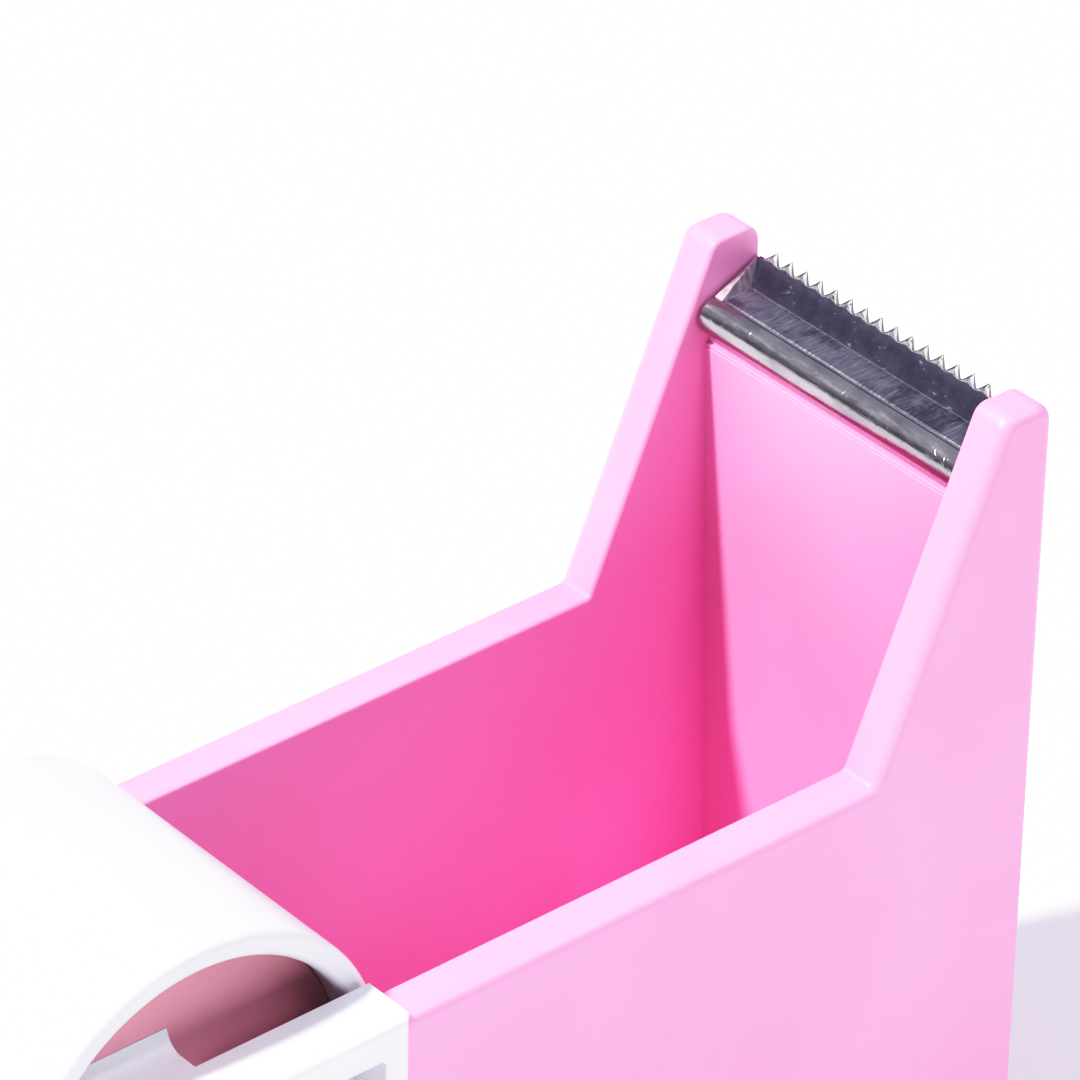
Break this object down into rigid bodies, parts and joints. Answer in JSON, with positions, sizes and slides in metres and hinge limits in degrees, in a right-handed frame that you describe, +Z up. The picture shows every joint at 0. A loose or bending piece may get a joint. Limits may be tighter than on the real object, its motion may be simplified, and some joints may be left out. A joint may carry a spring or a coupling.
{
  "type": "tape dispenser",
  "caption": "Desktop tape dispenser with an open tape well, a tall serrated steel cutter between two towers and a lift-out tubular spool.",
  "frame": {"origin": "centre of the footprint, on the surface the feet stand on", "axes": "+X towards the blade, +Y to the left when looking towards the blade, +Z up"},
  "size_m": [0.0848, 0.0294, 0.057],
  "materials": {
    "casing_pink": "satin moulded ABS",
    "holder_pink": "satin moulded ABS",
    "blade_steel": "polished nose, cross-brushed table",
    "spool_white": "satin moulded plastic",
    "disc_rose": "satin moulded plastic",
    "base_pink": "fine texture",
    "screw_steel": "zinc plated",
    "ballast_steel": "rolled steel, oiled",
    "pad_foam": "closed-cell foam",
    "foot_rubber": "soft matte"
  },
  "bodies": {
    "casing": {"body_shell": "casing_pink", "blade_holder": "holder_pink", "blade": "blade_steel", "base_plate": "base_pink", "base_screws": "screw_steel", "ballast_front": "ballast_steel", "ballast_rear": "ballast_steel", "ballast_pad": "pad_foam", "foot_front_left": "foot_rubber", "foot_front_right": "foot_rubber", "foot_rear_left": "foot_rubber", "foot_rear_right": "foot_rubber"},
    "spindle": {"spindle_left": "spool_white", "spindle_right": "spool_white", "bearing_disc_left": "disc_rose", "bearing_disc_right": "disc_rose"},
    "sleeve": {"spool_sleeve": "spool_white"}
  },
  "joints": [
    {"name": "spindle_lift", "type": "slide", "parent": "casing", "child": "spindle", "axis": [0, 0, 1], "range_m": [0, 0.03]},
    {"name": "sleeve_spin", "type": "hinge", "parent": "spindle", "child": "sleeve", "pos_m": [-0.01615, 0, 0.0317], "axis": [0, 1, 0], "continuous": true}
  ]
}
